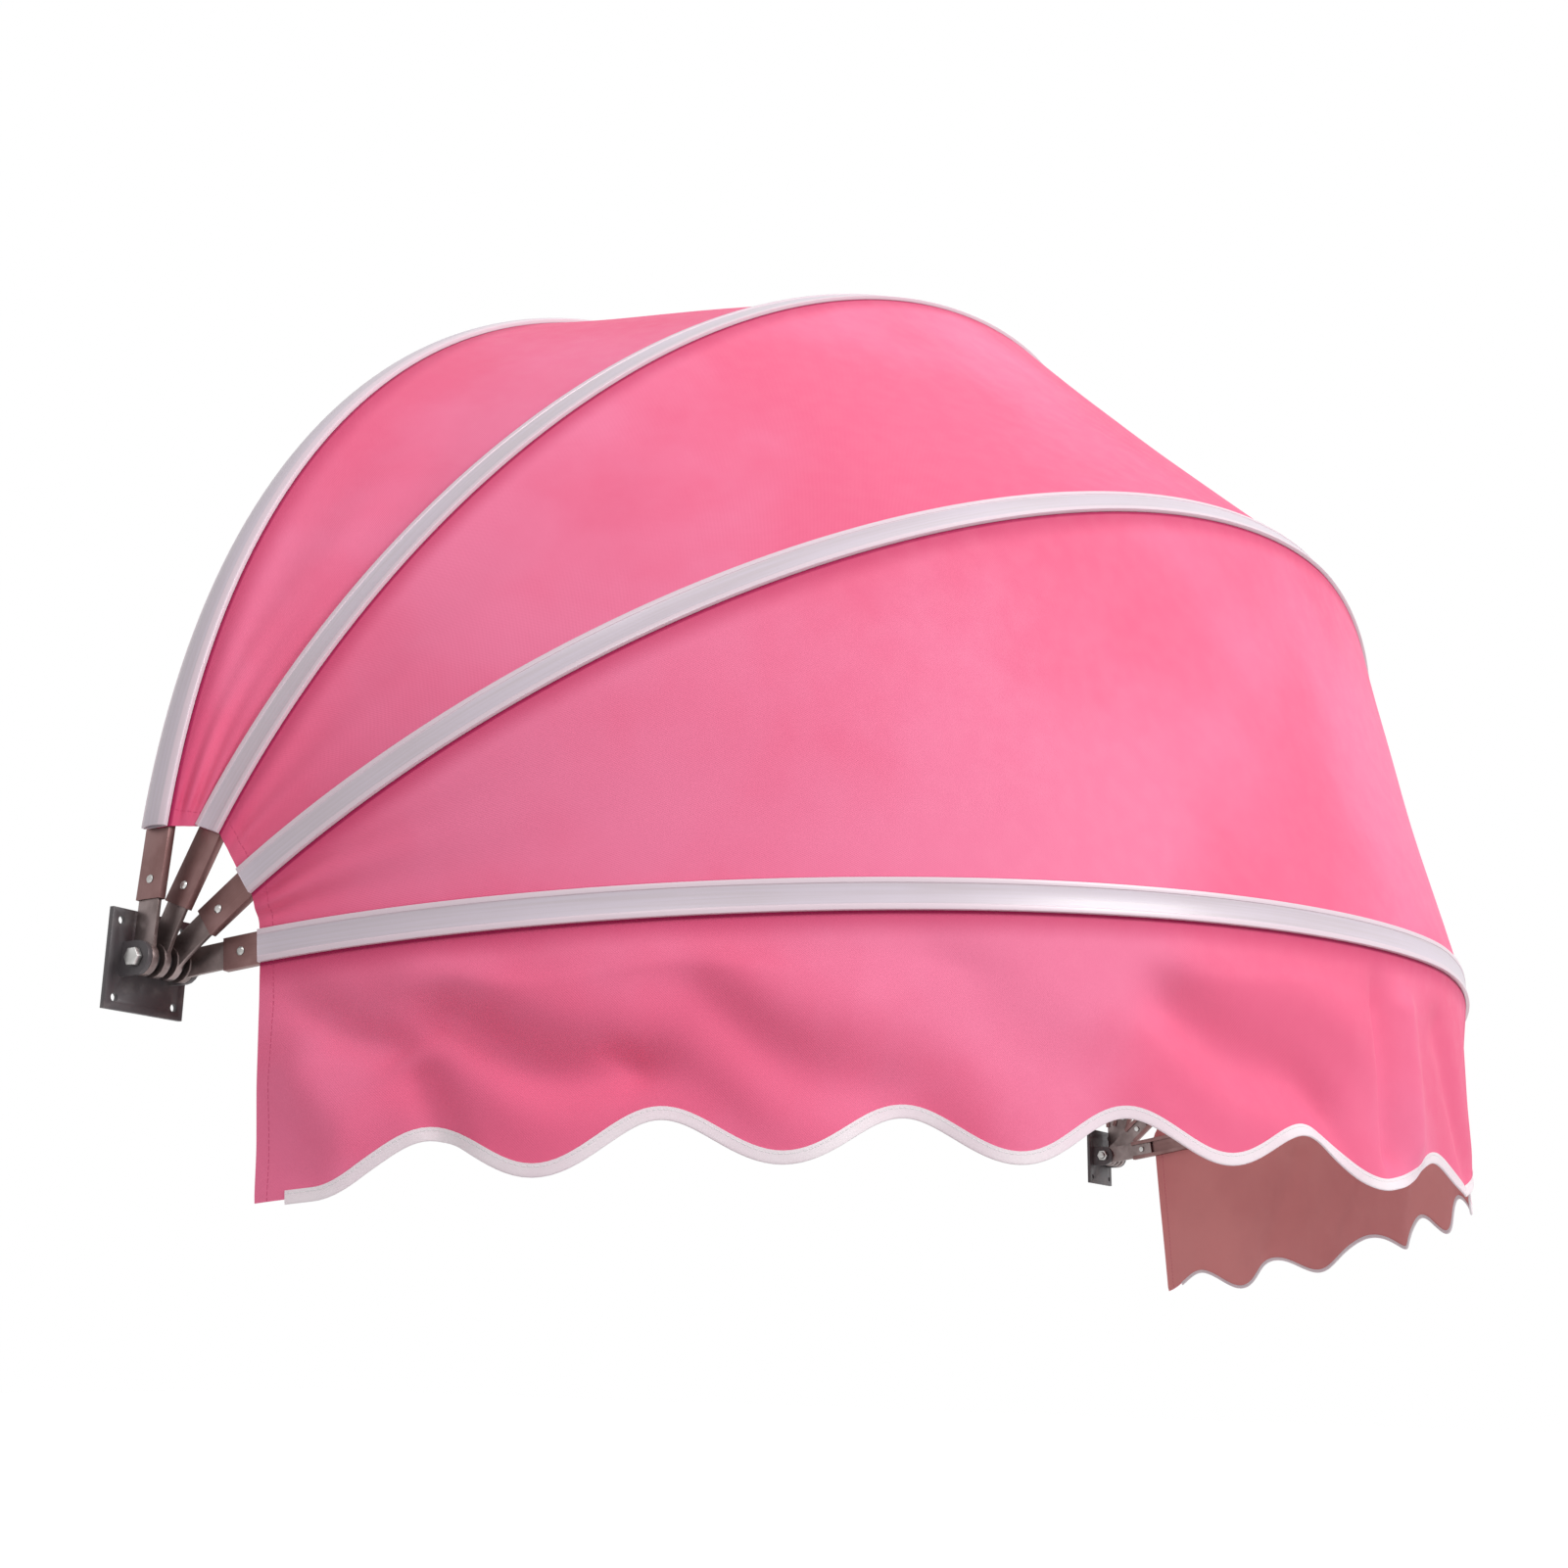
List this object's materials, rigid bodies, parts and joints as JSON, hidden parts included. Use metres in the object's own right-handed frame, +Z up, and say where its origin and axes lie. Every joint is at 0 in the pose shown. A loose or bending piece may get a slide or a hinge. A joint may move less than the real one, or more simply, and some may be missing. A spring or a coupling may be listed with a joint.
{
  "type": "dome awning",
  "caption": "Folding dome awning on hinged hoops, with taut fabric gores, pale cover strips and a scalloped valance.",
  "frame": {"origin": "middle of the crown clip's back face, on the wall plane", "axes": "+X along the wall to the viewer's right as seen from the street, +Y into the wall, +Z up"},
  "size_m": [1.825, 0.7353, 1.0087],
  "materials": {
    "pink_fabric": "taut coated woven polyester, pink, matt",
    "white_tape": "white woven binding tape, sewn along the hem",
    "white_plastic": "pale grey-white extruded plastic",
    "aluminium": "mill-finish aluminium extrusion",
    "zinc_steel": "zinc-plated steel",
    "dark_steel": "dark powder-coated steel",
    "black_plastic": "black moulded plastic"
  },
  "bodies": {
    "wall_frame": {"wall_bow": "aluminium", "wall_bow_cover_strip": "white_plastic", "wall_bow_end_left": "zinc_steel", "wall_bow_end_right": "zinc_steel", "wall_bow_rivet_left": "zinc_steel", "wall_bow_rivet_right": "zinc_steel", "wall_bracket_left": "dark_steel", "pivot_bolt_left": "zinc_steel", "pivot_nut_left": "zinc_steel", "pivot_spacer_left_1": "black_plastic", "pivot_spacer_left_2": "black_plastic", "pivot_spacer_left_3": "black_plastic", "wall_bracket_right": "dark_steel", "pivot_bolt_right": "zinc_steel", "pivot_nut_right": "zinc_steel", "pivot_spacer_right_1": "black_plastic", "pivot_spacer_right_2": "black_plastic", "pivot_spacer_right_3": "black_plastic", "wall_clip_crown": "dark_steel", "clip_screw_crown": "zinc_steel", "clip_nut_crown": "zinc_steel", "wall_clip_left": "dark_steel", "clip_screw_left": "zinc_steel", "clip_nut_left": "zinc_steel", "wall_clip_right": "dark_steel", "clip_screw_right": "zinc_steel", "clip_nut_right": "zinc_steel", "gore_wall": "pink_fabric"},
    "second_bow": {"bow_2": "aluminium", "bow_2_cover_strip": "white_plastic", "bow_2_end_left": "zinc_steel", "bow_2_end_right": "zinc_steel", "bow_2_rivet_left": "zinc_steel", "bow_2_rivet_right": "zinc_steel", "gore_middle": "pink_fabric"},
    "third_bow": {"bow_3": "aluminium", "bow_3_cover_strip": "white_plastic", "bow_3_end_left": "zinc_steel", "bow_3_end_right": "zinc_steel", "bow_3_rivet_left": "zinc_steel", "bow_3_rivet_right": "zinc_steel", "gore_front": "pink_fabric"},
    "front_frame": {"front_bow": "aluminium", "front_bow_cover_strip": "white_plastic", "front_bow_end_left": "zinc_steel", "front_bow_end_right": "zinc_steel", "front_bow_rivet_left": "zinc_steel", "front_bow_rivet_right": "zinc_steel", "valance": "pink_fabric", "hem_binding": "white_tape"}
  },
  "joints": [
    {"name": "second_bow_hinge", "type": "hinge", "parent": "wall_frame", "child": "second_bow", "pos_m": [0, -0.02, -0.76988], "axis": [-1, 0, 0], "range_deg": [0, 16], "deforming": ["gore_wall"]},
    {"name": "third_bow_hinge", "type": "hinge", "parent": "second_bow", "child": "third_bow", "pos_m": [0, -0.02, -0.76988], "axis": [-1, 0, 0], "range_deg": [0, 27], "deforming": ["gore_middle"]},
    {"name": "front_bow_hinge", "type": "hinge", "parent": "third_bow", "child": "front_frame", "pos_m": [0, -0.02, -0.76988], "axis": [-1, 0, 0], "range_deg": [0, 28], "deforming": ["gore_front"]}
  ],
  "couplings": [
    {"joint": "third_bow_hinge", "follows": "second_bow_hinge", "ratio": 1.6875},
    {"joint": "front_bow_hinge", "follows": "second_bow_hinge", "ratio": 1.75}
  ]
}
